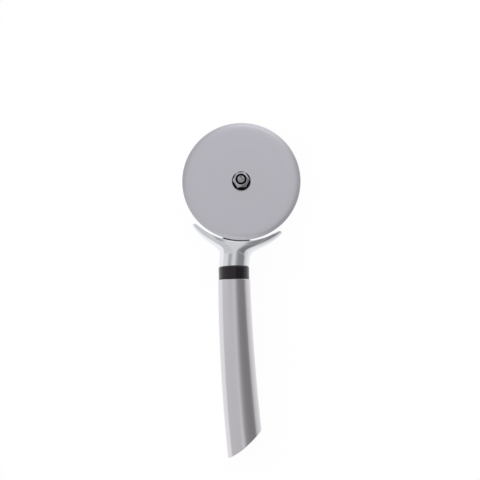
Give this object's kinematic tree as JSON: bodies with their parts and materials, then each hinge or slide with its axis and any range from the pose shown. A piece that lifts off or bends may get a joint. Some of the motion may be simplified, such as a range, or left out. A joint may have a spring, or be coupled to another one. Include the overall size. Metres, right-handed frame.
{
  "type": "pizza cutter",
  "caption": "Hand pizza cutter: a steel wheel turns on a bolted axle in front of a plated head with a crescent finger guard, above a black collar and a hollow, slightly curved steel handle.",
  "frame": {"origin": "on the wheel's axis, at the rear face of the bolt head, which rests on the table", "axes": "+Z along the wheel's axis towards the lock nut, +Y from the wheel's axis away from the handle, +X to the side that the handle bends towards"},
  "size_m": [0.07, 0.1963, 0.0184],
  "materials": {
    "wheel_steel": "brushed stainless steel, ground edge",
    "fastener_steel": "plain bright steel",
    "locking_nylon": "dark nylon",
    "bearing_nylon": "black nylon",
    "plated_metal": "satin chrome plating on a zinc casting",
    "collar_plastic": "black satin plastic",
    "handle_steel": "satin polished stainless steel",
    "plug_nylon": "natural nylon"
  },
  "bodies": {
    "head_and_handle": {"axle_bolt": "fastener_steel", "lock_nut": "fastener_steel", "nut_locking_ring": "locking_nylon", "flanged_bush": "bearing_nylon", "rear_washer": "bearing_nylon", "head_casting": "plated_metal", "collar_ring": "collar_plastic", "handle_shell": "handle_steel", "handle_end_cap": "handle_steel", "handle_plug": "plug_nylon", "tang_pin": "fastener_steel"},
    "wheel": {"cutting_wheel": "wheel_steel"}
  },
  "joints": [
    {"name": "wheel_spin", "type": "hinge", "parent": "head_and_handle", "child": "wheel", "pos_m": [0, 0, 0.0089], "axis": [0, 0, 1], "continuous": true}
  ]
}
